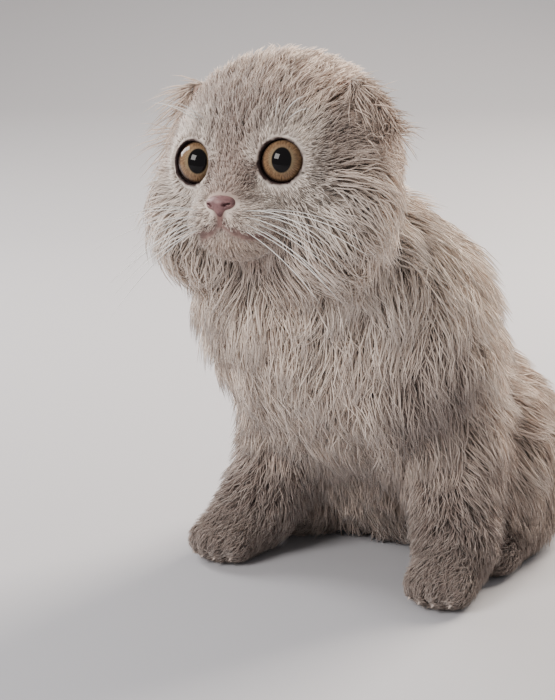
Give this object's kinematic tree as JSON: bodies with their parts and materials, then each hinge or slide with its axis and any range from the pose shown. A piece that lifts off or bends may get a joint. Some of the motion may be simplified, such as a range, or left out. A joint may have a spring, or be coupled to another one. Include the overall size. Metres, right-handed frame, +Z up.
{
  "type": "scottish fold cat",
  "caption": "Life-size still model of a longhaired fold-eared kitten, sitting up with its forepaws planted and its head turned to one side; it rests on the flats of its paws.",
  "frame": {"origin": "middle of the base of the bounding box, on the floor", "axes": "+Z up; the kitten faces -Y, and its own left side is +X"},
  "size_m": [0.1562, 0.2318, 0.1929],
  "materials": {
    "coat": "long soft fur, lilac and cream",
    "eyes": "clear glossy, amber brown",
    "nose_leather": "fine matte, dusty rose",
    "claws": "smooth horn"
  },
  "bodies": {
    "root": {"head": "coat", "neck": "coat", "forepaw_left": "coat", "hindpaw_left": "coat", "foreleg_left": "coat", "hindleg_left": "coat", "forepaw_right": "coat", "hindpaw_right": "coat", "foreleg_right": "coat", "hindleg_right": "coat", "tail_tip": "coat", "tail_base": "coat", "chest": "coat", "torso": "coat", "rump": "coat", "claw_left_1": "claws", "claw_left_2": "claws", "claw_left_3": "claws", "claw_left_4": "claws", "claw_right_1": "claws", "claw_right_2": "claws", "claw_right_3": "claws", "claw_right_4": "claws", "eye_left": "eyes", "eye_right": "eyes", "nose": "nose_leather", "ear_left": "coat", "ear_right": "coat"}
  },
  "joints": []
}
